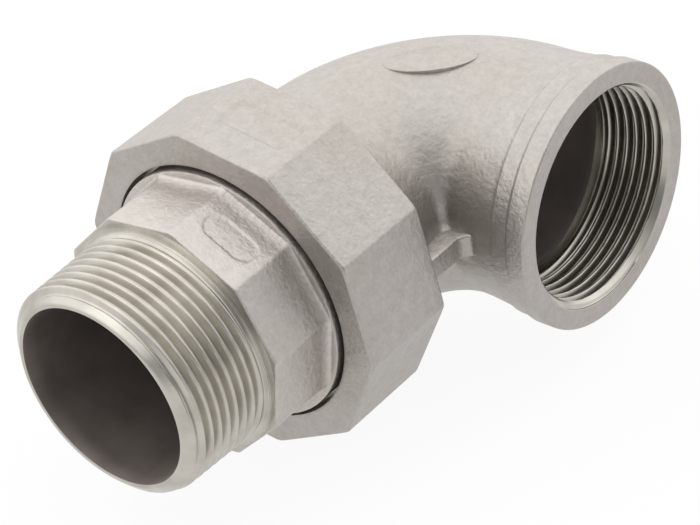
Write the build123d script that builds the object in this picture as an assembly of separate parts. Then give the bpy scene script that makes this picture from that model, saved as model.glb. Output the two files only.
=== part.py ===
from build123d import *
import math
import os

os.makedirs("parts", exist_ok=True)

# Union elbow for 1-1/2 inch pipe thread. Lengths in mm, angles in degrees.
# The origin is the centre of the female mouth. +X points out of that mouth, the tail's thread points
# along -Y, and +Z is up. The two port axes cross at x = -mouth_distance. A "distance" below is
# measured from that crossing along the tail axis, and an angle about it runs from +X towards +Z.

# Pipe thread, 11 turns to the inch
thread_major_radius = 23.9
thread_depth = 1.479
taper_slope = 1 / 32  # radius lost for each mm towards the free end
gauge_length = 12.7  # from the free end to the full major radius

# Elbow body, bend and passage
mouth_distance = 47.0
body_radius = 26.5
bend_radius = 28.2
body_wall = 4.6

# Elbow body, female port
mouth_band_radius = 28.3
mouth_band_width = 4.8
mouth_band_step = 0.6
mouth_edge = 0.4
mouth_shoulder_width = 3.8
mouth_shoulder_drop = 0.4
mouth_flare_slope = 0.11
mouth_thread_length = 15.8
mouth_chamfer_length = 1.7
mouth_undercut_length = 1.5

# Elbow body, union port
seat_distance = 53.5
seat_bore_step = 0.4  # wider than the passage by this
seat_bore_length = 9.0
union_thread_length = 11.0
union_thread_chamfer = 1.2
hub_step = 1.1  # lower than the union thread by this
hub_flare_slope = 0.2

# Elbow body, spanner lug in the crotch
lug_reach = 31.6
lug_height = 5.2
lug_root_round = 3.0  # hollow corner between the lug and the female leg
lug_nut_gap = 0.8
lug_edge = 0.8

# Elbow body, raised marking pad on top of the bend
pad_length = 19.5
pad_width = 9.0
pad_rise = 0.2
pad_angle = 51.5
pad_inset = 1.2  # from the bend's centre line towards the crotch
pad_depth = 3.0

# Union nut
nut_sides = 10
nut_circumradius = 36.4
nut_corner_angle = 136.5
nut_corner_round = 0.8
nut_lip = 4.2
nut_wall = 3.24  # from the flats in to the union thread at its mid height
nut_lip_step = 2.33  # the hole is narrower than the thread by this
nut_thread_length = 18.8
nut_corner_cut = 1.6
nut_thread_chamfer = 1.0
panel_length = 16.0
panel_width = 8.0
panel_depth = 0.3
panel_round = 1.2
panel_offset = 12.2  # from the front of the nut to the panel's middle

# Tail piece
tail_sides = 10
tail_corner_rise = 3.25  # from the thread out to the corners
tail_corner_angle = 152.3
tail_corner_round = 1.5
tail_wall = 2.421  # from the bottom of the thread in to the bore
tail_head_thickness = 4.2
tail_flats_length = 15.6  # from the collar to the turned front face
tail_collar_stand = 0.9  # in front of the nut
tail_collar_cove = 1.5
tail_front_reach = 21.25  # from the front face to the free end
tail_cove_length = 2.4
tail_cove_rise = 1.6
tail_end_land = 0.9
tail_end_chamfer_length = 2.1
pill_length = 12.4
pill_width = 5.8
pill_depth = 0.2
pill_offset = 7.3  # from the collar to the pill's middle

# Seal ring
seal_thickness = 2.0
seal_width = 5.1
seal_rim = 3.0  # from the edge of the head in to the seal
seal_recess = 0.8

# Clearances
union_thread_clearance = 0.08
head_clearance = 0.88
collar_clearance = 0.85
seal_clearance = 0.15

# Worked out from the sizes above
thread_minor_radius = thread_major_radius - thread_depth
passage_radius = body_radius - body_wall
seat_bore_radius = passage_radius + seat_bore_step
head_back = seat_distance + seal_thickness - seal_recess
head_front = head_back + tail_head_thickness
nut_front = head_front + nut_lip
nut_back = head_front - nut_thread_length
nut_apothem = nut_circumradius * math.cos(math.pi / nut_sides)
nut_thread_radius = nut_apothem - nut_wall
nut_hole_radius = nut_thread_radius - nut_lip_step
union_thread_radius = nut_thread_radius - union_thread_clearance
hub_radius = union_thread_radius - hub_step
tail_head_radius = nut_thread_radius - head_clearance
seal_outer_radius = tail_head_radius - seal_rim
seal_inner_radius = seal_outer_radius - seal_width
collar_radius = nut_hole_radius - collar_clearance
tail_circumradius = thread_major_radius + tail_corner_rise
collar_front = nut_front + tail_collar_stand
tail_apothem = tail_circumradius * math.cos(math.pi / tail_sides)
tail_bore_radius = thread_minor_radius - tail_wall
tail_front = collar_front + tail_flats_length
tail_end = tail_front + tail_front_reach
thread_start = seat_distance - union_thread_length
mouth_axis = Axis((0, 0, 0), (1, 0, 0))
tail_axis = Axis((-mouth_distance, 0, 0), (0, -1, 0))
far = 200.0


def at_tail(radius, distance):
    """A point of an outline about the tail axis."""
    return (-mouth_distance + radius, -distance)


def turned(points, axis):
    """A solid of revolution from a closed outline in the XY plane."""
    return revolve(make_face(Polyline(*points, close=True)), axis)


def across_tail(distance):
    """The plane across the tail axis, with its local x along +X and its local y along +Z."""
    return Plane(origin=(-mouth_distance, -distance, 0), x_dir=(1, 0, 0), z_dir=(0, -1, 0))


def on_flat(apothem, angle, distance):
    """The plane of one wrench flat, with its local x round the axis and its local y along the axis."""
    turn = math.radians(angle)
    normal = Vector(math.cos(turn), 0, math.sin(turn))
    centre = Vector(-mouth_distance, -distance, 0) + normal * apothem
    return Plane(origin=centre, x_dir=(math.sin(turn), 0, -math.cos(turn)), z_dir=normal)


def rounded_polygon(radius, sides, corner_angle, corner_round):
    """A regular polygon with its first corner at this angle and every corner rounded."""
    polygon = RegularPolygon(radius, sides, rotation=corner_angle)
    return fillet(polygon.vertices(), corner_round)


def bend(radius):
    """The quarter bend of a round bar, cut off at the bend's own axis."""
    section = Plane(origin=(-mouth_distance, -bend_radius, 0), x_dir=(1, 0, 0), z_dir=(0, -1, 0))
    outer_side = Pos(bend_radius - far / 2, 0) * Rectangle(far, far)
    half_bar = section * (Circle(radius) & outer_side)
    bend_axis = Axis((-mouth_distance + bend_radius, -bend_radius, 0), (0, 0, -1))
    return revolve(half_bar, bend_axis, 90)


def female_leg():
    """Outside of the mouth's side, from the end of the bend to the mouth."""
    bend_end = -mouth_distance + bend_radius
    band_back = -mouth_band_width
    shoulder_back = band_back - mouth_shoulder_width
    shoulder_radius = mouth_band_radius - mouth_band_step
    flare_radius = shoulder_radius - mouth_shoulder_drop
    flare = Spline((bend_end, body_radius), (shoulder_back, flare_radius),
                   tangents=((1, 0), (1, mouth_flare_slope)))
    rim = Polyline((shoulder_back, flare_radius), (shoulder_back + mouth_shoulder_drop, shoulder_radius),
                   (band_back, shoulder_radius), (band_back + mouth_band_step, mouth_band_radius),
                   (-mouth_edge, mouth_band_radius), (0, mouth_band_radius - mouth_edge),
                   (0, 0), (bend_end, 0), (bend_end, body_radius))
    return revolve(make_face([flare, rim]), mouth_axis)


def union_leg():
    """Outside of the union's side, from the end of the bend to the seat."""
    flare = Spline(at_tail(body_radius, bend_radius), at_tail(hub_radius, thread_start),
                   tangents=((0, -1), (hub_flare_slope, -1)))
    step = union_thread_radius - hub_radius
    rim = Polyline(at_tail(hub_radius, thread_start), at_tail(union_thread_radius, thread_start + step),
                   at_tail(union_thread_radius, seat_distance - union_thread_chamfer),
                   at_tail(union_thread_radius - union_thread_chamfer, seat_distance),
                   at_tail(0, seat_distance), at_tail(0, bend_radius), at_tail(body_radius, bend_radius))
    return revolve(make_face([flare, rim]), tail_axis)


def spanner_lug():
    """Flat-sided lug that stands out of the crotch behind the nut, hollowed out towards the female leg."""
    end = nut_back - lug_nut_gap
    root = body_radius + lug_root_round
    outline = Polyline(at_tail(lug_reach + lug_root_round, body_radius), at_tail(lug_reach + lug_root_round, 0),
                       at_tail(0, 0), at_tail(0, end), at_tail(lug_reach, end), at_tail(lug_reach, root))
    hollow = ThreePointArc(at_tail(lug_reach, root),
                           at_tail(lug_reach + lug_root_round * (1 - math.sqrt(0.5)),
                                   root - lug_root_round * math.sqrt(0.5)),
                           at_tail(lug_reach + lug_root_round, body_radius))
    block = extrude(make_face([outline, hollow]), lug_height / 2, both=True)
    outer_edges = block.edges().filter_by(Axis.Y).group_by(Axis.X)[-1]
    return fillet(outer_edges, lug_edge)


def marking_pad():
    """Raised oval field on top of the bend, left bare."""
    turn = math.radians(pad_angle)
    reach = bend_radius - pad_inset
    x = -mouth_distance + bend_radius - reach * math.cos(turn)
    y = reach * math.sin(turn) - bend_radius
    oval = Pos(x, y, body_radius - pad_depth) * Rot(Z=90 - pad_angle) * Ellipse(pad_length / 2, pad_width / 2)
    return extrude(oval, pad_depth + pad_rise)


def passage():
    """Everything that is hollow inside the elbow body: the passage, the mouth and the seat's bore."""
    seat_centre = (-mouth_distance, -seat_distance, 0)
    bend_start = (-mouth_distance, -bend_radius, 0)
    bend_end = (-mouth_distance + bend_radius, 0, 0)
    path = Line(seat_centre, bend_start) + RadiusArc(bend_start, bend_end, bend_radius) + Line(bend_end, (0, 0, 0))
    pipe = sweep(Plane(origin=seat_centre, z_dir=(0, 1, 0)) * Circle(passage_radius), path=path)
    thread_end = -mouth_thread_length
    neck = thread_end - mouth_undercut_length
    mouth = turned([(0, 0), (0, thread_minor_radius + thread_depth), (-mouth_chamfer_length, thread_minor_radius),
                    (thread_end, thread_minor_radius), (neck, passage_radius), (neck, 0)], mouth_axis)
    seat_start = seat_distance - seat_bore_length
    seat = turned([at_tail(0, seat_start), at_tail(seat_bore_radius, seat_start),
                   at_tail(seat_bore_radius, seat_distance), at_tail(0, seat_distance)], tail_axis)
    return [pipe, mouth, seat]


def elbow_body():
    """One casting: bend, flared legs, mouth band, union spigot, lug and marking pad."""
    legs = bend(body_radius) + female_leg() + union_leg()
    outside = legs + spanner_lug() + marking_pad()
    return outside - passage()


def union_nut():
    """Ten-sided nut with a lip in front and the union thread's plain bore behind."""
    outline = rounded_polygon(nut_circumradius, nut_sides, nut_corner_angle, nut_corner_round)
    blank = extrude(across_tail(nut_back) * outline, nut_front - nut_back)
    cone_start = nut_circumradius - nut_corner_cut
    reach = nut_circumradius + nut_corner_cut
    cone = 2 * nut_corner_cut
    envelope = turned([at_tail(0, nut_back), at_tail(cone_start, nut_back), at_tail(reach, nut_back + cone),
                       at_tail(reach, nut_front - cone), at_tail(cone_start, nut_front),
                       at_tail(0, nut_front)], tail_axis)
    edge = nut_thread_chamfer
    hollow = turned([at_tail(0, nut_back), at_tail(nut_thread_radius + edge, nut_back),
                     at_tail(nut_thread_radius, nut_back + edge), at_tail(nut_thread_radius, head_front),
                     at_tail(nut_hole_radius, head_front), at_tail(nut_hole_radius, nut_front),
                     at_tail(0, nut_front)], tail_axis)
    panel_angle = nut_corner_angle - 1.5 * 360 / nut_sides
    panel_plane = on_flat(nut_apothem, panel_angle, nut_front - panel_offset)
    panel = extrude(panel_plane * RectangleRounded(panel_length, panel_width, panel_round), -panel_depth)
    return (blank & envelope) - hollow - panel


def tail_flats():
    """Ten wrench flats that sweep up to the collar's own polygon next to the nut."""
    slim = rounded_polygon(tail_circumradius, tail_sides, tail_corner_angle, tail_corner_round)
    wide = rounded_polygon(collar_radius, tail_sides, tail_corner_angle, tail_corner_round)
    bar = extrude(across_tail(collar_front) * slim, tail_flats_length)
    sweep_up = loft([across_tail(collar_front) * wide, across_tail(collar_front + tail_collar_cove) * slim],
                    ruled=True)
    return bar + sweep_up


def tail_piece():
    """Head, collar, wrench flats and taper thread in one casting, bored through."""
    gauge_point = tail_end - gauge_length
    thread_base = tail_front + tail_cove_length
    end_radius = thread_major_radius - gauge_length * taper_slope
    base_radius = thread_major_radius + (gauge_point - thread_base) * taper_slope
    land_radius = tail_bore_radius + tail_end_land
    chamfer_start = tail_end - tail_end_chamfer_length
    head = turned([at_tail(0, head_back), at_tail(tail_head_radius, head_back),
                   at_tail(tail_head_radius, head_front), at_tail(collar_radius, head_front),
                   at_tail(collar_radius, collar_front), at_tail(0, collar_front)], tail_axis)
    spigot = turned([at_tail(0, collar_front), at_tail(base_radius + tail_cove_rise, collar_front),
                     at_tail(base_radius + tail_cove_rise, tail_front), at_tail(base_radius, thread_base),
                     at_tail(end_radius + tail_end_chamfer_length * taper_slope, chamfer_start),
                     at_tail(land_radius, tail_end), at_tail(0, tail_end)], tail_axis)
    bore = turned([at_tail(0, head_back), at_tail(tail_bore_radius, head_back),
                   at_tail(tail_bore_radius, tail_end), at_tail(0, tail_end)], tail_axis)
    recess_radius = seal_outer_radius + seal_clearance
    recess = turned([at_tail(0, head_back), at_tail(recess_radius, head_back),
                     at_tail(recess_radius, head_back + seal_recess),
                     at_tail(0, head_back + seal_recess)], tail_axis)
    pill_angle = tail_corner_angle - 2.5 * 360 / tail_sides
    pill_plane = on_flat(tail_apothem, pill_angle, collar_front + pill_offset)
    pill = extrude(pill_plane * SlotOverall(pill_length, pill_width), -pill_depth)
    return head + tail_flats() + spigot - bore - recess - pill


def seal_ring():
    """Flat ring between the elbow's seat and the tail's head."""
    ring = Circle(seal_outer_radius) - Circle(seal_inner_radius)
    return extrude(across_tail(seat_distance) * ring, seal_thickness)


pieces = {
    "elbow_body": elbow_body(),
    "union_nut": union_nut(),
    "tail_piece": tail_piece(),
    "seal_ring": seal_ring(),
}
for name, piece in pieces.items():
    export_step(piece, f"parts/{name}.step")
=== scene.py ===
import math

import bmesh
import bpy
from mathutils import Matrix, Vector


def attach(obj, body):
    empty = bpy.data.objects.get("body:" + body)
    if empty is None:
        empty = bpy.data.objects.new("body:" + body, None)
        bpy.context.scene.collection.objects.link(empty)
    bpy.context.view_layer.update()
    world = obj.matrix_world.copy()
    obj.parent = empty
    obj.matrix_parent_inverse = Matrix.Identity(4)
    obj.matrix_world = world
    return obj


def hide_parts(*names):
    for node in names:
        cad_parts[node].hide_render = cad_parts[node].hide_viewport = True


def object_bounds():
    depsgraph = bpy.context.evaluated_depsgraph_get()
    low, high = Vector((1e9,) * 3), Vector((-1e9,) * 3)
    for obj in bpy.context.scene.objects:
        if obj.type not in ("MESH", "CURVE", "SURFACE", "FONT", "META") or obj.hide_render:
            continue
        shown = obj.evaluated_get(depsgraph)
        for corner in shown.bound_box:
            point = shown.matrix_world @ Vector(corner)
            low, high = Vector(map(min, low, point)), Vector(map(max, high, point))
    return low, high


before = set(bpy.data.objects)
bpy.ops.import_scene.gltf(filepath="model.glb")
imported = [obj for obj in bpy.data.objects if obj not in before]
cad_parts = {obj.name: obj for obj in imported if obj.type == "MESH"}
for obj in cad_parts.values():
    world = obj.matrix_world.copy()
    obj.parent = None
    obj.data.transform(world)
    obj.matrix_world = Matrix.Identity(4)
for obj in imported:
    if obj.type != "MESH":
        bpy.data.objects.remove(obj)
cadBounds = [list(corner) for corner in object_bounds()]
print("frame loaded:", ", ".join(sorted(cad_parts)))

mm = 0.001


# One node graph, shader or geometry. Every node in this file comes from its node method.
class Graph:
    def __init__(self, tree):
        self.tree = tree

    # settings are the node's own properties, and inputs are values or links by socket name or number
    def node(self, kind, settings=None, inputs=None, output=0):
        made = self.tree.nodes.new(kind)
        for name, value in (settings or {}).items():
            setattr(made, name, value)
        for key, value in (inputs or {}).items():
            if isinstance(value, Signal):
                self.tree.links.new(value.socket, made.inputs[key])
            else:
                made.inputs[key].default_value = value
        return Signal(self, made.outputs[output]) if len(made.outputs) else made


# A socket that can be added, multiplied and so on, as a number can.
class Signal:
    def __init__(self, graph, socket):
        self.graph = graph
        self.socket = socket

    def out(self, name):
        return Signal(self.graph, self.socket.node.outputs[name])

    def maths(self, operation, first, second=None, third=None):
        given = [value for value in (first, second, third) if value is not None]
        return self.graph.node("ShaderNodeMath", {"operation": operation}, dict(enumerate(given)))

    def __add__(self, other):
        return self.maths("ADD", self, other)

    def __radd__(self, other):
        return self.maths("ADD", other, self)

    def __sub__(self, other):
        return self.maths("SUBTRACT", self, other)

    def __rsub__(self, other):
        return self.maths("SUBTRACT", other, self)

    def __mul__(self, other):
        return self.maths("MULTIPLY", self, other)

    def __rmul__(self, other):
        return self.maths("MULTIPLY", other, self)

    def __truediv__(self, other):
        return self.maths("DIVIDE", self, other)

    def clipped(self):
        return self.maths("MINIMUM", self.maths("MAXIMUM", self, 0.0), 1.0)

    # 0 below low, 1 above high, with soft ends
    def step(self, low, high):
        return self.graph.node("ShaderNodeMapRange", {"interpolation_type": "SMOOTHSTEP"},
                               {"Value": self, "From Min": low, "From Max": high})


def vectorMaths(graph, operation, *given, output="Vector"):
    return graph.node("ShaderNodeVectorMath", {"operation": operation}, dict(enumerate(given)), output=output)


def scaled(graph, vector, factor):
    return graph.node("ShaderNodeVectorMath", {"operation": "SCALE"}, {0: vector, "Scale": factor})


def noise(graph, place, scale, detail):
    return graph.node("ShaderNodeTexNoise", inputs={"Vector": place, "Scale": scale, "Detail": detail})


def mixed(graph, factor, first, second):
    return graph.node("ShaderNodeMix", {"data_type": "RGBA"}, {0: factor, 6: first, 7: second}, output=2)


def newMaterial(name):
    material = bpy.data.materials.new(name)
    material.use_nodes = True
    material.node_tree.nodes.clear()
    return material, Graph(material.node_tree)


def surface(graph, shader):
    graph.node("ShaderNodeOutputMaterial", inputs={"Surface": shader})


# Where the two axes cross. The sizes of the pieces are in mm, along an axis from here or out from it.
crossing = Vector((-47.0, 0.0, 0.0))

# Steel, blasted to a satin grain all over.
castLook = {
    "colour": (0.46, 0.43, 0.41, 1),
    "warm": (0.45, 0.42, 0.385, 1),
    "cloudScale": 45.0,
    "roughness": 0.48,
    "roughnessSpread": 0.1,
    "grain": 0.38,  # mm
    "peel": 1.1,  # mm, the wider dimples
    "peelShare": 1.6,
    "strength": 0.8,
    "depth": 0.13,  # mm
    "speckle": 0.24,
    "tailPaintedLight": 1.2,  # painted light: the tail's steel is made lighter to stand in for light that its flats lack
}


# tone scales the whole colour; the tail's value above 1 is painted light, a lighter copy of the same steel
def castSteel(name, tone):
    look = castLook
    material, g = newMaterial(name)
    place = g.node("ShaderNodeTexCoord", output="Object")
    fine = noise(g, place, 0.5 / (look["grain"] * mm), 2.0)
    peel = noise(g, place, 0.5 / (look["peel"] * mm), 2.0)
    cloud = noise(g, place, look["cloudScale"], 2.0)
    colour = mixed(g, cloud.step(0.3, 0.7), look["colour"], look["warm"])
    colour = scaled(g, colour, tone + (fine + peel - 1) * look["speckle"])
    bump = g.node("ShaderNodeBump", inputs={
        "Height": fine + peel * look["peelShare"], "Strength": look["strength"],
        "Distance": look["depth"] * mm})
    surface(g, g.node("ShaderNodeBsdfPrincipled", inputs={
        "Base Color": colour, "Metallic": 1.0, "Normal": bump,
        "Roughness": look["roughness"] + (cloud - 0.5) * look["roughnessSpread"]}))
    return material


sealLook = {
    "dark": (0.80, 0.79, 0.76, 1),
    "light": (0.86, 0.85, 0.82, 1),
    "cloudScale": 300.0,
    "roughness": 0.5,
    "strength": 0.4,
    "depth": 0.05,  # mm
}


def sealPlastic():
    look = sealLook
    material, g = newMaterial("sealPlastic")
    cloud = noise(g, g.node("ShaderNodeTexCoord", output="Object"), look["cloudScale"], 3.0)
    bump = g.node("ShaderNodeBump", inputs={
        "Height": cloud, "Strength": look["strength"], "Distance": look["depth"] * mm})
    surface(g, g.node("ShaderNodeBsdfPrincipled", inputs={
        "Base Color": mixed(g, cloud, look["dark"], look["light"]), "Roughness": look["roughness"],
        "Normal": bump}))
    return material


turnedLook = {
    "colour": (0.55, 0.525, 0.475, 1),
    "stained": (0.44, 0.415, 0.37, 1),
    "stainScale": 160.0,
    "roughness": 0.29,
    "roughnessSpread": 0.12,
    "rings": 5200.0,  # rings of the tool to a metre
    "strength": 0.6,
    "depth": 0.0015,  # mm
}


# Bright steel with the fine rings of the lathe, about the tail's axis or the mouth's.
def turnedSteel(name, along):
    look = turnedLook
    material, g = newMaterial(name)
    place = g.node("ShaderNodeTexCoord", output="Object")
    offset = vectorMaths(g, "SUBTRACT", place, crossing * mm)
    along = vectorMaths(g, "DOT_PRODUCT", offset, along, output="Value")
    away = vectorMaths(g, "LENGTH", offset, output="Value")
    rings = g.node("ShaderNodeCombineXYZ", inputs={0: along * look["rings"], 1: away * look["rings"]})
    fine = noise(g, rings, 1.0, 2.0)
    stain = noise(g, place, look["stainScale"], 3.0)
    bump = g.node("ShaderNodeBump", inputs={
        "Height": fine, "Strength": look["strength"], "Distance": look["depth"] * mm})
    surface(g, g.node("ShaderNodeBsdfPrincipled", inputs={
        "Base Color": mixed(g, stain.step(0.25, 0.8), look["colour"], look["stained"]), "Metallic": 1.0,
        "Roughness": look["roughness"] + (fine - 0.5) * look["roughnessSpread"], "Normal": bump}))
    return material


boreLook = {
    "dark": (0.27, 0.235, 0.215, 1),
    "light": (0.36, 0.315, 0.29, 1),
    "cloudScale": 90.0,
    "grainScale": 1800.0,
    "metallic": 0.9,
    "roughness": 0.62,
    "strength": 0.6,
    "depth": 0.03,  # mm
}


# The walls of the passage, darker, browner and duller than the outside steel.
def boreSteel():
    look = boreLook
    material, g = newMaterial("boreSteel")
    place = g.node("ShaderNodeTexCoord", output="Object")
    cloud = noise(g, place, look["cloudScale"], 3.0)
    bump = g.node("ShaderNodeBump", inputs={
        "Height": noise(g, place, look["grainScale"], 3.0), "Strength": look["strength"],
        "Distance": look["depth"] * mm})
    surface(g, g.node("ShaderNodeBsdfPrincipled", inputs={
        "Base Color": mixed(g, cloud.step(0.3, 0.7), look["dark"], look["light"]),
        "Metallic": look["metallic"], "Roughness": look["roughness"], "Normal": bump}))
    return material


# The pipe thread of the tail and the mouth, 11 turns to the inch.
thread = {
    "pitch": 2.309,
    "depth": 1.479,
    "flank": 1.109,  # half the height of the sharp V
    "taper": 1 / 32,
    "majorRadius": 23.9,
    "gaugeLength": 12.7,
    "rows": 24,  # rows to one pitch
    "unionRows": 12,  # the same for the thread between elbow and nut
    "columns": 12,  # columns to one flat
    "runOut": 0.8,  # pitches over which the tail's thread fades
    "crestRound": 0.22,
    "rootRound": 0.3,
}


def spread(first, last, count):
    return [first + (last - first) * k / count for k in range(count + 1)]


# From 0, where the value is 0 or less, to 1, where it reaches the width.
def faded(value, width):
    return min(1, max(0, value / width))


# Rounds the corners of an outline of (along, radius, round) points, into (along, radius) pairs.
def softened(points):
    steps = 4
    result = []
    count = len(points)
    for k, (x, y, size) in enumerate(points):
        if not size:
            result.append((x, y))
            continue
        here = Vector((x, y))
        back = Vector(points[k - 1][:2]) - here
        ahead = Vector(points[(k + 1) % count][:2]) - here
        half = back.angle(ahead) / 2
        reach = min(size / math.tan(half), back.length * 0.48, ahead.length * 0.48)
        start, end = here + back.normalized() * reach, here + ahead.normalized() * reach
        for step in range(steps + 1):
            t = step / steps
            result.append(tuple(start * (1 - t) ** 2 + here * (2 * t * (1 - t)) + end * t ** 2))
    return result


# Where the round of a polygon's corner has its centre, and the angle at which it ends.
def cornerRounding(shape):
    half = math.pi / shape["sides"]
    size = shape["cornerRound"]
    inner = (shape["apothem"] - size) / math.cos(half)
    return half, inner, math.atan2(size * math.sin(half), inner + size * math.cos(half))


# Distance from the axis to a regular polygon with rounded corners.
def polygonRadius(turn, shape):
    half, inner, limit = cornerRounding(shape)
    fromCorner = abs((turn - math.radians(shape["cornerAngle"]) + half) % (2 * half) - half)
    if fromCorner < limit:
        reach = math.sqrt(shape["cornerRound"] ** 2 - (inner * math.sin(fromCorner)) ** 2)
        return inner * math.cos(fromCorner) + reach
    return shape["apothem"] / math.cos(half - fromCorner)


# Columns round a ten-sided piece: close together at the corners and where its recess has its edges.
def flatColumns(shape, steps, recessFlat, recessEdges):
    half, inner, limit = cornerRounding(shape)
    closest = 0.0006  # radians
    columns = []
    for flat in range(shape["sides"]):
        start = math.radians(shape["cornerAngle"]) - (flat + 1) * 2 * half
        offsets = [-limit * 0.5, 0.0, limit * 0.5, limit, limit * 1.5]
        offsets += [limit * 1.5 + (2 * half - 3 * limit) * k / steps for k in range(1, steps)]
        offsets += [2 * half - limit * 1.5, 2 * half - limit]
        if flat == recessFlat:
            offsets += [half + math.atan2(edge, shape["apothem"]) for edge in recessEdges]
        columns += [start + offset for offset in offsets]
    columns = sorted(turn % math.tau for turn in columns)
    return [turn for k, turn in enumerate(columns) if k == 0 or turn - columns[k - 1] > closest]


# Puts a mesh into the scene as an object of its own.
def shown(name, mesh):
    made = bpy.data.objects.new(name, mesh)
    bpy.context.scene.collection.objects.link(made)
    return made


# A closed skin: rows of points joined all round and from the last row back to the first. A row's finish is
# the number of the material from it to the next row.
def closedSkin(name, rows, finishes, weights, materials):
    mesh = bpy.data.meshes.new(name)
    count = len(rows[0])
    points = [tuple(point * mm) for row in rows for point in row]
    faces, kinds = [], []
    for i in range(len(rows)):
        following = (i + 1) % len(rows)
        for j in range(count):
            right = (j + 1) % count
            faces.append((i * count + j, i * count + right,
                          following * count + right, following * count + j))
            kinds.append(finishes[i])
    mesh.from_pydata(points, [], faces)
    mesh.polygons.foreach_set("material_index", kinds)
    for attributeName, values in weights.items():
        attribute = mesh.attributes.new(attributeName, "FLOAT", "POINT")
        attribute.data.foreach_set("value", [value for value in values for column in range(count)])
    for material in materials:
        mesh.materials.append(material)
    return shown(name, mesh)


# Cuts a helical thread into the skin where the named weight says so. The attribute stock is how far the skin
# already lies under the crests, as it does at a chamfer.
def threadCutter():
    tree = bpy.data.node_groups.new("threadCutter", "GeometryNodeTree")
    tree.interface.new_socket("Geometry", in_out="OUTPUT", socket_type="NodeSocketGeometry")
    tree.interface.new_socket("Geometry", in_out="INPUT", socket_type="NodeSocketGeometry")
    for kind, names in (("Float", ("Pitch", "Depth", "Flank", "First Crest", "Crest Round", "Root Round")),
                        ("Vector", ("Centre", "Along", "Across", "Upward")),
                        ("String", ("Weight",)), ("Material", ("Steel",))):
        for name in names:
            tree.interface.new_socket(name, in_out="INPUT", socket_type="NodeSocket" + kind)
    g = Graph(tree)
    given = g.node("NodeGroupInput")
    place = g.node("GeometryNodeInputPosition")

    offset = vectorMaths(g, "SUBTRACT", place, given.out("Centre"))
    along, across, upward = (vectorMaths(g, "DOT_PRODUCT", offset, given.out(name), output="Value")
                             for name in ("Along", "Across", "Upward"))
    turn = given.maths("ARCTAN2", upward, across) / math.tau
    phase = given.maths("FRACT", (along - given.out("First Crest")) / given.out("Pitch") - turn)
    wave = (given.maths("ABSOLUTE", phase - 0.5) * 4 - 1) * given.out("Flank")
    limit = given.out("Depth") / 2
    half = given.maths("ABSOLUTE", limit)
    wave = given.maths("SMOOTH_MIN", wave, half, given.out("Crest Round"))
    wave = given.maths("SMOOTH_MAX", wave, 0 - half, given.out("Root Round"))
    weight = g.node("GeometryNodeInputNamedAttribute", {"data_type": "FLOAT"}, {"Name": given.out("Weight")})
    stock = g.node("GeometryNodeInputNamedAttribute", {"data_type": "FLOAT"}, {"Name": "stock"})
    radial = vectorMaths(g, "ADD", scaled(g, given.out("Across"), across),
                         scaled(g, given.out("Upward"), upward))
    radial = vectorMaths(g, "NORMALIZE", radial)
    sign = given.maths("SIGN", limit)
    depth = sign * given.maths("MINIMUM", wave - half + stock, 0.0) * weight
    shaped = g.node("GeometryNodeSetPosition", inputs={
        "Geometry": given.out("Geometry"), "Offset": scaled(g, radial, depth)})
    cut = g.node("FunctionNodeCompare", {"data_type": "FLOAT", "operation": "GREATER_THAN"},
                 {0: weight, 1: 0.5})
    real = g.node("GeometryNodeRealizeInstances", inputs={"Geometry": shaped})
    done = g.node("GeometryNodeSetMaterial", inputs={
        "Geometry": real, "Selection": cut, "Material": given.out("Steel")})
    g.node("NodeGroupOutput", inputs={"Geometry": done})
    return tree


# The two directions that a thread needs: along its axis, and from the axis to where its turns are counted.
tailAxis = {"Along": (0, -1, 0), "Across": (1, 0, 0)}
mouthAxis = {"Along": (1, 0, 0), "Across": (0, 1, 0)}


# Gives one skin its thread, with the tree's inputs set by the sockets' identifiers. A depth below zero cuts
# an inside thread.
def cutThread(piece, tree, axis, firstCrest, depth, flank, steel, weight="threadWeight"):
    values = {"Pitch": thread["pitch"] * mm, "First Crest": firstCrest * mm, "Depth": depth * mm,
              "Flank": flank * mm, "Crest Round": thread["crestRound"] * mm,
              "Root Round": thread["rootRound"] * mm, "Centre": crossing * mm, "Upward": (0, 0, 1),
              "Weight": weight, "Steel": steel, **axis}
    modifier = piece.modifiers.new("thread", "NODES")
    modifier.node_group = tree
    for item in tree.interface.items_tree:
        if item.in_out == "INPUT" and item.name in values:
            modifier[item.identifier] = values[item.name]


# Turns the evaluated piece into a plain outward-facing mesh with soft shading.
def finishPiece(piece, body, node, sharpAngle):
    graph = bpy.context.evaluated_depsgraph_get()
    mesh = bpy.data.meshes.new_from_object(piece.evaluated_get(graph))
    piece.modifiers.clear()
    piece.data = mesh
    shape = bmesh.new()
    shape.from_mesh(mesh)
    bmesh.ops.remove_doubles(shape, verts=shape.verts, dist=0.002 * mm)
    bmesh.ops.recalc_face_normals(shape, faces=shape.faces)
    shape.to_mesh(mesh)
    shape.free()
    mesh.shade_smooth()
    mesh.set_sharp_from_angle(angle=math.radians(sharpAngle))
    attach(piece, body)
    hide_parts(node)
    print(piece.name, "made,", len(mesh.polygons), "faces")


def atTail(along, radius, turn):
    return crossing + Vector((radius * math.cos(turn), -along, radius * math.sin(turn)))


def threadRows(first, last, radiusAt, perTurn):
    count = max(2, round(abs(last - first) / thread["pitch"] * perTurn))
    return [(along, radiusAt(along)) for along in spread(first, last, count)]


# How deep a place lies in a recess with rounded corners: 0 outside and 1 inside, over an edge this wide.
def recess(across, along, length, width, corner, edge):
    x, y = abs(across) - length / 2 + corner, abs(along) - width / 2 + corner
    outside = math.hypot(max(x, 0), max(y, 0)) + min(max(x, y), 0) - corner
    t = min(max(0.5 - outside / edge, 0), 1)
    return t * t * (3 - 2 * t)


# Distance across a flat from its middle line.
def flatAcross(turn, shape, flat, radius):
    return radius * math.sin(math.radians(shape["cornerAngle"] - (flat + 0.5) * 360 / shape["sides"]) - turn)


# Rows or columns on both sides of a recess: its two edges, and the steps inside and outside them.
def edgeOffsets(half, reach):
    return [side * (half + step) for side in (-1, 1) for step in reach]


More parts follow.
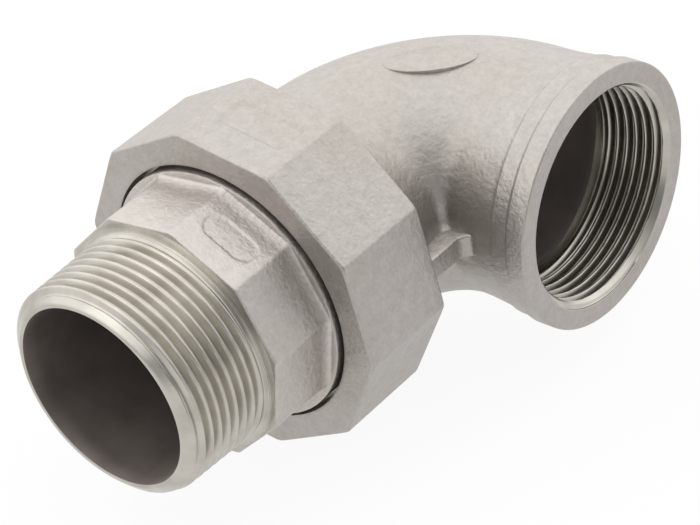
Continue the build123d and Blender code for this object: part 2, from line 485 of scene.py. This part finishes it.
# Builds a piece about the tail axis. An entry is (along, radius) or a function of the turn, then its
# finish, then its thread's weight and stock, or 0.
def tailSkin(name, entries, columns, materials):
    rows, finishes, weights, stocks = [], [], [], []
    for entry, finish, weight in entries:
        row = []
        for turn in columns:
            along, radius = entry(turn) if callable(entry) else entry
            row.append(atTail(along, radius, turn))
        rows.append(row)
        finishes.append(finish)
        weights.append(weight[0] if weight else 0)
        stocks.append(weight[1] * mm if weight else 0)
    return closedSkin(name, rows, finishes, {"threadWeight": weights, "stock": stocks}, materials)


cast, turned, dark = 0, 1, 2  # the finishes, which are places in a piece's materials

# The thread between elbow and nut, with its pitch as the pipe thread's.
unionThread = {
    "depth": 1.1,
    "flank": 0.85,
    "firstCrest": 50.0,
}

tail = {
    "sides": 10,
    "apothem": 25.821,
    "cornerAngle": 152.3,
    "cornerRound": 1.5,
    "bore": 20.0,
    "end": 100.85,
    "endLand": 20.9,
    "chamferStart": 98.75,
    "threadEnd": 80.9,
    "front": 79.6,
    "coveTop": 25.69,
    "coveRows": 24,
    "coveRings": 0.035,  # the height of the rings that the tool left
    "edgeRound": 0.3,
    "collarFront": 64.0,
    "flatRows": (78.9, 78.0, 76.8, 69.0, 67.6, 67.0),  # clear of the pill and the sweep
    "sweep": 2.4,
    "sweepRise": 1.0,
    "collar": 28.2,
    "collarRound": (0.07, 0.22),  # in its middle, and at its ends
    "headFront": 58.9,
    "headBack": 54.7,
    "head": 30.5,
    "headRound": 0.3,
    "sealStep": 0.8,
    "sealRadius": 27.65,
    "pill": (12.4, 5.8, 2.9, 0.2),  # length, width, corner, depth
    "pillEdge": 0.5,
    "pillAlong": 71.3,
    "pillFlat": 2,
    "firstCrest": 97.776,
}


def makeTail(tree, materials):
    t = tail
    length, width, corner, depth = t["pill"]
    pillColumns = edgeOffsets(length / 2, (-3, -2.4, -1.8, -1.2, -0.7, -0.35, -0.1, 0.15, 0.5))
    pillRows = edgeOffsets(width / 2, (-2.6, -2.2, -1.8, -1.4, -1.0, -0.6, -0.3, -0.1, 0.1, 0.3, 0.6))
    columns = flatColumns(t, thread["columns"], t["pillFlat"], pillColumns)
    end, front, bore, ledge, collar = t["end"], t["front"], t["bore"], t["collarFront"], t["collar"]
    floor = t["headBack"] + t["sealStep"]
    gauge = end - thread["gaugeLength"]

    def crest(along):
        return thread["majorRadius"] - (along - gauge) * thread["taper"]

    # The chamfer that leads onto the thread, as far as it lies under the crests.
    def lead(along):
        rise = (crest(t["chamferStart"]) - t["endLand"]) / (end - t["chamferStart"])
        return min(crest(along), t["endLand"] + (end - along) * rise)

    def frontEdge(angle):
        rise = math.radians(angle)
        size = t["edgeRound"]
        return lambda turn: (front - size + size * math.cos(rise),
                             polygonRadius(turn, t) - size + size * math.sin(rise))

    # The flats sweep up to the collar, and one of them has the pill.
    def flats(along):
        def at(turn):
            radius = polygonRadius(turn, t)
            over = (ledge + t["sweep"] - along) / t["sweep"]
            if over > 0:
                radius += t["sweepRise"] * (1 - math.sqrt(max(1 - over * over, 0)))
            mask = recess(flatAcross(turn, t, t["pillFlat"], radius), along - t["pillAlong"],
                          length, width, corner, t["pillEdge"])
            return along, min(radius, collar) - depth * mask
        return at

    entries = [((along, bore), dark, 0) for along in spread(floor, end - 0.2, 12)]
    entries += [((end - 0.06, bore + 0.06), turned, 0), ((end, bore + 0.2), turned, 0),
                ((end, t["endLand"] - 0.1), turned, 0), ((end - 0.05, t["endLand"]), turned, 0)]
    runOut = thread["runOut"] * thread["pitch"]
    for along, radius in threadRows(end - 0.25, t["threadEnd"], lead, thread["rows"]):
        fade = faded(along - t["threadEnd"], runOut)
        entries.append(((along, radius), turned, (fade, crest(along) - radius)))
    top, base = t["coveTop"], crest(t["threadEnd"])
    for k in range(1, t["coveRows"]):
        rise = math.radians(90 * k / t["coveRows"])
        ring = t["coveRings"] * math.sin(k * 2.1)
        entries.append(((t["threadEnd"] - (t["threadEnd"] - front) * math.sin(rise) + ring,
                         base + (top - base) * (1 - math.cos(rise)) + ring), turned, 0))
    entries.append((lambda turn: (front, min(top, polygonRadius(turn, t) - t["edgeRound"] - 0.05)), cast, 0))
    entries += [(frontEdge(angle), cast, 0) for angle in (0, 22.5, 45, 67.5, 90)]
    stations = list(t["flatRows"]) + [t["pillAlong"] + row for row in pillRows]
    stations += spread(ledge + 0.01, ledge + t["sweep"], 10)
    entries += [(flats(along), cast, 0) for along in sorted(stations, reverse=True)]
    (soft, rim), small = t["collarRound"], t["headRound"]
    headFront, headBack, head, sealRadius = t["headFront"], t["headBack"], t["head"], t["sealRadius"]
    entries.append((lambda turn: (ledge, min(polygonRadius(turn, t) + t["sweepRise"], collar - 0.25)), cast, 0))
    entries += [(place, cast, 0) for place in (
        (ledge, collar - rim), (ledge - soft, collar - soft), (ledge - rim, collar), (ledge - 0.6, collar))]
    entries += [(place, turned, 0) for place in (
        (headFront, collar), (headFront, head - small), (headFront - small, head), (headBack + small, head),
        (headBack, head - small), (headBack, sealRadius), (floor, sealRadius))]
    entries.append(((floor, bore + 0.2), dark, 0))
    piece = tailSkin("TailPiece", entries, columns, materials)
    cutThread(piece, tree, tailAxis, t["firstCrest"], thread["depth"], thread["flank"], materials[turned])
    finishPiece(piece, "tail", "tail_piece", 38)


nut = {
    "sides": 10,
    "apothem": 34.618,
    "cornerAngle": 136.5,
    "cornerRound": 1.2,
    "front": 63.1,
    "back": 40.1,
    "cut": 35.85,  # the corners are turned down to this radius at both faces
    "edgeRound": 0.45,
    "hole": 29.05,
    "shoulder": 58.9,
    "bore": 30.83,
    "mouth": 32.3,
    "panel": (16.0, 8.0, 1.2, 0.3),  # length, width, corner, depth
    "panelEdge": 0.45,
    "panelAlong": 50.9,
    "panelFlat": 1,
}


def makeNut(tree, materials):
    n = nut
    length, width, corner, depth = n["panel"]
    besideEdge = (-1.6, -1.2, -0.8, -0.5, -0.25, 0, 0.25, 0.5)
    columns = flatColumns(n, thread["columns"], n["panelFlat"], edgeOffsets(length / 2, besideEdge))
    front, back, hole, shoulder = n["front"], n["back"], n["hole"], n["shoulder"]
    bore, mouth, size = n["bore"], n["mouth"], n["edgeRound"]
    tangent = size * math.tan(math.radians(22.5))

    # The rounded edge between a face and the flats. Where a corner is turned down it has two rounds, with the
    # slope between them, and elsewhere both are one.
    def edge(face, side, angle, second):
        rise = math.radians(angle)

        def at(turn):
            radius = polygonRadius(turn, n)
            run = radius - n["cut"]
            if run <= 2 * tangent * math.cos(math.radians(45)) + 0.01:
                centre = (face - side * size, radius - size)
            elif second:
                centre = (face - side * (run + tangent), radius - size)
            else:
                centre = (face - side * size, n["cut"] - tangent)
            return centre[0] + side * size * math.cos(rise), centre[1] + size * math.sin(rise)
        return at

    # Where a face ends, short of its rounded edge.
    def rim(face):
        return lambda turn: (face, polygonRadius(turn, n) - size - 0.3)

    def flats(along):
        def at(turn):
            radius = polygonRadius(turn, n)
            mask = recess(flatAcross(turn, n, n["panelFlat"], radius), along - n["panelAlong"],
                          length, width, corner, n["panelEdge"])
            return along, radius - depth * mask
        return at

    fan = [(angle, False) for angle in (0, 15, 30, 45)] + [(angle, True) for angle in (45, 60, 75, 90)]
    entries = [((back, mouth), cast, 0), ((back + 0.05, mouth - 0.1), turned, 0)]
    for along, radius in threadRows(back + 0.3, shoulder, lambda along: max(bore, mouth - (along - back)),
                                    thread["unionRows"]):
        entries.append(((along, radius), turned, (faded(shoulder - along, 2), radius - bore)))
    entries.append(((shoulder, hole + 0.1), turned, 0))
    entries += [(place, cast, 0) for place in (
        (shoulder + 0.1, hole), (front - 0.7, hole), (front - 0.35, hole), (front - 0.1, hole + 0.1),
        (front, hole + 0.35), (front, hole + 0.7), rim(front))]
    entries += [(edge(front, 1, angle, second), cast, 0) for angle, second in fan]
    stations = [n["panelAlong"] + row for row in edgeOffsets(width / 2, besideEdge)]
    stations += spread(back + 2.5, front - 2.5, 8)
    entries += [(flats(along), cast, 0) for along in sorted(stations, reverse=True)]
    entries += [(edge(back, -1, angle, second), cast, 0) for angle, second in reversed(fan)]
    entries.append((rim(back), cast, 0))
    piece = tailSkin("UnionNut", entries, columns, materials)
    cutThread(piece, tree, tailAxis, unionThread["firstCrest"] + thread["pitch"] / 2,
              -unionThread["depth"], unionThread["flank"], materials[turned])
    finishPiece(piece, "nut", "union_nut", 30)


elbow = {
    "columns": 168,  # round the passage
    "bend": 28.2,  # radius of the centre line
    "bendRows": 84,
    "body": 26.5,
    "passage": 21.9,
    "passageRows": 48,
    "passageLegRow": 36.0,
    "reach": 47.0,
    "seat": 53.5,
    "seatBore": 22.3,
    "seatBoreStart": 44.5,
    "unionCrest": 31.85,
    "unionChamfer": 1.2,
    "unionThreadStart": 43.4,
    "hub": 30.2,
    "hubStart": 42.4,
    "hubSlope": 0.2,
    "flareEnd": 38.4,
    "flare": 27.3,
    "flareSlope": 0.11,
    "shoulder": 27.7,
    "shoulderRise": 0.45,
    "bandStart": 42.2,
    "bandRise": 0.7,
    "band": 28.3,
    "stepRound": 0.5,
    "faceRound": 0.45,
    "mouthMinor": 22.421,
    "mouthMajor": 23.9,
    "mouthChamfer": 1.7,
    "mouthThreadEnd": 31.2,
    "firstCrest": 43.95,
    "pad": (9.75, 4.5),  # half length and half width of the raised field
    "padTop": 26.7,
    "padFoot": 4.0,  # how far the field goes down into the bend
    "padAngle": 51.5,
    "padInset": 1.2,
    "padSides": 72,
    "lugHalf": 2.6,
    "lugInner": 18.0,
    "lugSkirt": 2.4,
    "lugSkirtStart": 20.0,
    "lugReach": 31.6,
    "lugEnd": 39.3,
    "lugRoot": 3.0,
    "lugRound": 0.5,
}


# Station 0 is where the union's leg meets the bend, and stations grow towards the mouth.
def elbowPoint(station, radius, turn):
    bend = elbow["bend"]
    bendLength = bend * math.pi / 2
    if station < 0:
        point, outward = Vector((0, station - bend, 0)), Vector((-1, 0, 0))
    elif station > bendLength:
        point, outward = Vector((bend + station - bendLength, 0, 0)), Vector((0, 1, 0))
    else:
        swing = station / bend
        outward = Vector((-math.cos(swing), math.sin(swing), 0))
        point = Vector((bend, -bend, 0)) + outward * bend
    return crossing + point + outward * (radius * math.cos(turn)) + Vector((0, 0, radius * math.sin(turn)))


# A radius that runs from start to end with the given slopes, as (along, radius) pairs.
def hermite(first, last, start, end, slopeStart, slopeEnd, count):
    rows = []
    run = last - first
    for k in range(count + 1):
        t = k / count
        radius = ((2 * t ** 3 - 3 * t ** 2 + 1) * start + (t ** 3 - 2 * t ** 2 + t) * run * slopeStart
                  + (3 * t ** 2 - 2 * t ** 3) * end + (t ** 3 - t ** 2) * run * slopeEnd)
        rows.append((first + run * t, radius))
    return rows


# Lifts a point of the bend's skin where it swells towards the lug's sides.
def skirted(point):
    e = elbow
    x, y = point.x - crossing.x, -point.y
    side = abs(point.z) - e["lugHalf"]
    if x <= 0 or y <= 0:
        return point
    within = faded(e["lugReach"] + 1.0 - x, 3) * faded(e["lugEnd"] + 1.0 - y, 4)
    within *= faded(x - e["lugSkirtStart"], 4) * faded(y - e["lugSkirtStart"], 4)
    near = faded(e["lugSkirt"] - side, e["lugSkirt"])
    lift = e["lugSkirt"] * (1 - math.sqrt(max(0, 1 - near * near))) * within
    return point + Vector((1, -1, 0)).normalized() * lift * 0.8


# Turns a bmesh into an object.
def built(name, shape):
    mesh = bpy.data.meshes.new(name)
    shape.to_mesh(mesh)
    shape.free()
    return shown(name, mesh)


# The spanner lug in the crotch, with a hollow where it leaves the mouth's leg.
def makeLug():
    e = elbow
    reach, end, root, inner, small = e["lugReach"], e["lugEnd"], e["lugRoot"], e["lugInner"], e["lugRound"]
    outline = [(inner, inner), (reach + root, inner), (reach + root, e["body"] - 0.2)]
    for angle in (15, 30, 45, 60, 75, 90):
        turn = math.radians(angle)
        outline.append((reach + root * (1 - math.sin(turn)), e["body"] + root * (1 - math.cos(turn))))
    outline += [(reach, end - small), (reach - small, end), (inner, end)]
    shape = bmesh.new()
    corners = [shape.verts.new((crossing + Vector((x, -y, -e["lugHalf"]))) * mm) for x, y in outline]
    raised = bmesh.ops.extrude_face_region(shape, geom=[shape.faces.new(corners)])
    bmesh.ops.translate(shape, vec=(0, 0, 2 * e["lugHalf"] * mm),
                        verts=[made for made in raised["geom"] if isinstance(made, bmesh.types.BMVert)])
    bmesh.ops.recalc_face_normals(shape, faces=shape.faces)
    rims = [edge for edge in shape.edges if abs(edge.verts[0].co.z - edge.verts[1].co.z) < 1e-7]
    bmesh.ops.bevel(shape, geom=rims, offset=small * mm, segments=3, profile=0.5, affect="EDGES")
    return built("lug", shape)


# The bare raised field on top of the bend.
def makePad():
    e = elbow
    turn = math.radians(e["padAngle"])
    reach, top, sides = e["bend"] - e["padInset"], e["padTop"], e["padSides"]
    middle = crossing + Vector((e["bend"] - reach * math.cos(turn), reach * math.sin(turn) - e["bend"], 0))
    lengthwise = Vector((math.sin(turn), math.cos(turn), 0))
    crosswise = Vector((math.cos(turn), -math.sin(turn), 0))
    shape = bmesh.new()
    rings = []
    for inset, level in ((0, top - e["padFoot"]), (0, top - 0.22), (0.07, top - 0.07), (0.22, top)):
        ring = []
        for angle in (math.tau * k / sides for k in range(sides)):
            place = middle + lengthwise * ((e["pad"][0] - inset) * math.cos(angle))
            place += crosswise * ((e["pad"][1] - inset) * math.sin(angle)) + Vector((0, 0, level))
            ring.append(shape.verts.new(place * mm))
        rings.append(ring)
    for low, high in zip(rings, rings[1:]):
        for k in range(sides):
            following = (k + 1) % sides
            shape.faces.new((low[k], low[following], high[following], high[k]))
    shape.faces.new(rings[0])
    shape.faces.new(rings[-1])
    bmesh.ops.recalc_face_normals(shape, faces=shape.faces)
    return built("pad", shape)


def makeElbow(tree, materials):
    e = elbow
    bend, body, passage, reach = e["bend"], e["body"], e["passage"], e["reach"]
    seat, seatBore, crest, unionStart = e["seat"], e["seatBore"], e["unionCrest"], e["unionThreadStart"]
    flareEnd, flare, shoulder, bandStart, band = (
        e["flareEnd"], e["flare"], e["shoulder"], e["bandStart"], e["band"])
    minor, major, threadEnd = e["mouthMinor"], e["mouthMajor"], e["mouthThreadEnd"]
    bendLength = bend * math.pi / 2
    columns = [math.tau * k / e["columns"] for k in range(e["columns"])]
    entries = []  # station, radius, finish, and the thread's weight and stock

    def add(pairs, finish):
        entries.extend((station, radius, finish, 0, 0) for station, radius in pairs)

    def fromTail(pairs):
        return [(bend - along, radius) for along, radius in pairs]

    def fromMouth(pairs):
        return [(bendLength - bend + along, radius) for along, radius in pairs]

    # from the seat over the union thread and the hub to the bend
    chamfered = crest - e["unionChamfer"]
    add(fromTail([(seat, seatBore + 0.15), (seat, crest - 1.5), (seat - 0.1, chamfered)]), turned)
    for along, radius in threadRows(seat - 0.3, unionStart,
                                    lambda along: min(crest, chamfered + seat - along), thread["unionRows"]):
        entries.append((bend - along, radius, turned, faded(along - unionStart, 2), crest - radius))
    add(fromTail([(unionStart - 0.15, crest - 0.3), (e["hubStart"] + 0.1, e["hub"] + 0.1)]), cast)
    add(fromTail(hermite(e["hubStart"] - 0.1, bend, e["hub"], body, e["hubSlope"], 0, 24)), cast)
    add([(station, body) for station in spread(0, bendLength, e["bendRows"])[1:-1]], cast)

    # over the flare and the band to the mouth's face
    add(fromMouth(hermite(bend, flareEnd, body, flare, 0, e["flareSlope"], 16)), cast)
    steps = softened([(flareEnd, flare, 0), (flareEnd + e["shoulderRise"], shoulder, e["stepRound"]),
                      (bandStart, shoulder, e["stepRound"]), (bandStart + e["bandRise"], band, e["stepRound"]),
                      (reach, band, e["faceRound"]), (reach, major, 0)])
    add(fromMouth(steps[1:-1] + [(reach, band - 0.9), (reach, major + 0.5)]), cast)

    # into the mouth, and through the passage back to the seat
    add(fromMouth([(reach, major + 0.1), (reach - 0.08, major - 0.05)]), turned)
    slope = (major - minor) / e["mouthChamfer"]
    for along, radius in threadRows(reach - 0.25, threadEnd,
                                    lambda along: max(minor, major - (reach - along) * slope), thread["rows"]):
        station = bendLength - bend + along
        entries.append((station, radius, turned, faded(along - threadEnd, thread["pitch"]), radius - minor))
    add(fromMouth([(threadEnd - 0.2, minor), (threadEnd - 1.3, passage + 0.1)]), turned)
    add(fromMouth([(threadEnd - 1.6, passage)]), dark)
    add([(station, passage) for station in spread(bendLength, 0, e["passageRows"])], dark)
    add(fromTail([(e["passageLegRow"], passage), (e["seatBoreStart"] - 0.1, passage),
                  (e["seatBoreStart"], seatBore), (seat - 3, seatBore), (seat - 0.15, seatBore)]), dark)

    rows = []
    for station, radius, finish, weight, stock in entries:
        row = [elbowPoint(station, radius, turn) for turn in columns]
        if radius > body - 0.01 and not weight:
            row = [skirted(point) for point in row]
        rows.append(row)
    weights = {"unionWeight": [entry[3] if entry[0] < 0 else 0 for entry in entries],
               "mouthWeight": [entry[3] if entry[0] > 0 else 0 for entry in entries],
               "stock": [entry[4] * mm for entry in entries]}
    piece = closedSkin("ElbowBody", rows, [entry[2] for entry in entries], weights, materials)
    cutThread(piece, tree, tailAxis, unionThread["firstCrest"], unionThread["depth"], unionThread["flank"],
              materials[turned], "unionWeight")
    cutThread(piece, tree, mouthAxis, e["firstCrest"], -thread["depth"], thread["flank"],
              materials[turned], "mouthWeight")
    added = [makeLug(), makePad()]
    for part in added:
        part.data.materials.append(materials[cast])
        join = piece.modifiers.new(part.name, "BOOLEAN")
        join.operation = "UNION"
        join.solver = "MANIFOLD"
        join.object = part
    finishPiece(piece, "elbow", "elbow_body", 40)
    for part in added:
        bpy.data.objects.remove(part)


steel = castSteel("castSteel", 1)
# a lighter copy of the cast steel for the tail: painted light
tailPaintedLightSteel = castSteel("castSteelTailPaintedLight", castLook["tailPaintedLight"])
white = sealPlastic()
bore = boreSteel()
turnedTail = turnedSteel("turnedSteelTail", tailAxis["Along"])
turnedMouth = turnedSteel("turnedSteelMouth", mouthAxis["Along"])
for name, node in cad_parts.items():
    node.data.materials.clear()
    node.data.materials.append(white if name == "seal_ring" else steel)
cutter = threadCutter()
makeTail(cutter, [tailPaintedLightSteel, turnedTail, bore])
makeNut(cutter, [steel, turnedTail, bore])
makeElbow(cutter, [steel, turnedMouth, bore])


# The studio: a pale floor, one softbox and an even room that is dimmer beside the camera.
studio = {
    "floorSize": 8.0,
    "floorGap": 0.2 * mm,
    "floorColour": (0.80, 0.80, 0.80, 1),
    "floorWhite": 0.92,  # how far the floor that the camera sees is white
    "bright": 1.55,
    "dim": 0.25,
    "brightFrom": (-130, 30),  # azimuth, elevation
    "brightEdge": (-0.68, 0.4),  # cosines between which the room turns from dim to bright
    "keyBox": {"azimuth": -8, "elevation": 27, "distance": 1.2, "width": 1.0, "height": 0.65, "watts": 2.2},
}


def direction(azimuth, elevation):
    turn, rise = math.radians(azimuth), math.radians(elevation)
    return Vector((math.sin(turn) * math.cos(rise), -math.cos(turn) * math.cos(rise), math.sin(rise)))


# The floor gives white to the camera and to glossy rays, and keeps the shadow by its diffuse share.
def makeFloor():
    low, high = (Vector(corner) for corner in cadBounds)
    half = studio["floorSize"] / 2
    centre = (low + high) / 2
    level = low.z - studio["floorGap"]
    mesh = bpy.data.meshes.new("floor")
    corners = [(centre.x + x * half, centre.y + y * half, level)
               for x, y in ((-1, -1), (1, -1), (1, 1), (-1, 1))]
    mesh.from_pydata(corners, [], [(0, 1, 2, 3)])
    floor = shown("floor", mesh)
    material, g = newMaterial("paleFloor")
    path = g.node("ShaderNodeLightPath", output="Is Camera Ray")
    seen = (path + path.out("Is Glossy Ray") + path.out("Is Transmission Ray")).clipped()
    lit = g.node("ShaderNodeBsdfDiffuse", inputs={"Color": studio["floorColour"]})
    plain = g.node("ShaderNodeEmission", inputs={"Color": (1, 1, 1, 1), "Strength": 1.0})
    surface(g, g.node("ShaderNodeMixShader", inputs={0: seen * studio["floorWhite"], 1: lit, 2: plain}))
    mesh.materials.append(material)


def makeKeyBox():
    key = studio["keyBox"]
    lamp = bpy.data.lights.new("keyBox", "AREA")
    lamp.shape = "RECTANGLE"
    lamp.size = key["width"]
    lamp.size_y = key["height"]
    lamp.energy = key["watts"]
    outward = direction(key["azimuth"], key["elevation"])
    box = shown("keyBox", lamp)
    box.location = (Vector(cadBounds[0]) + Vector(cadBounds[1])) / 2 + outward * key["distance"]
    box.rotation_mode = "QUATERNION"
    box.rotation_quaternion = outward.to_track_quat("Z", "Y")


def makeRoom():
    world = bpy.data.worlds.new("room")
    world.use_nodes = True
    world.node_tree.nodes.clear()
    bpy.context.scene.world = world
    g = Graph(world.node_tree)
    look = g.node("ShaderNodeTexCoord", output="Generated")
    towards = vectorMaths(g, "DOT_PRODUCT", look, direction(*studio["brightFrom"]), output="Value")
    level = studio["dim"] + (studio["bright"] - studio["dim"]) * towards.step(*studio["brightEdge"])
    back = g.node("ShaderNodeBackground", inputs={"Color": (1, 1, 1, 1), "Strength": level})
    g.node("ShaderNodeOutputWorld", inputs={"Surface": back})


# The photograph's viewpoint, found by fitting the two axes and the thread.
camera = {
    "eye": (0.26355, -0.35212, 0.30718),
    "right": (0.775, 0.620, -0.122),
    "up": (-0.290, 0.521, 0.803),
    "lens": 135.88,
    "sensor": 36.0,
    "clip": (0.01, 50.0),
}


def makeCamera():
    data = bpy.data.cameras.new("photoCamera")
    data.lens = camera["lens"]
    data.sensor_width = camera["sensor"]
    data.clip_start, data.clip_end = camera["clip"]
    holder = shown("photoCamera", data)
    right = Vector(camera["right"]).normalized()
    up = Vector(camera["up"])
    up = (up - right * up.dot(right)).normalized()
    facing = Matrix((right, up, right.cross(up))).transposed()
    holder.matrix_world = Matrix.Translation(camera["eye"]) @ facing.to_4x4()
    bpy.context.scene.camera = holder


makeFloor()
makeKeyBox()
makeRoom()
makeCamera()
bpy.context.scene.view_settings.view_transform = "Standard"
print("studio and camera made")
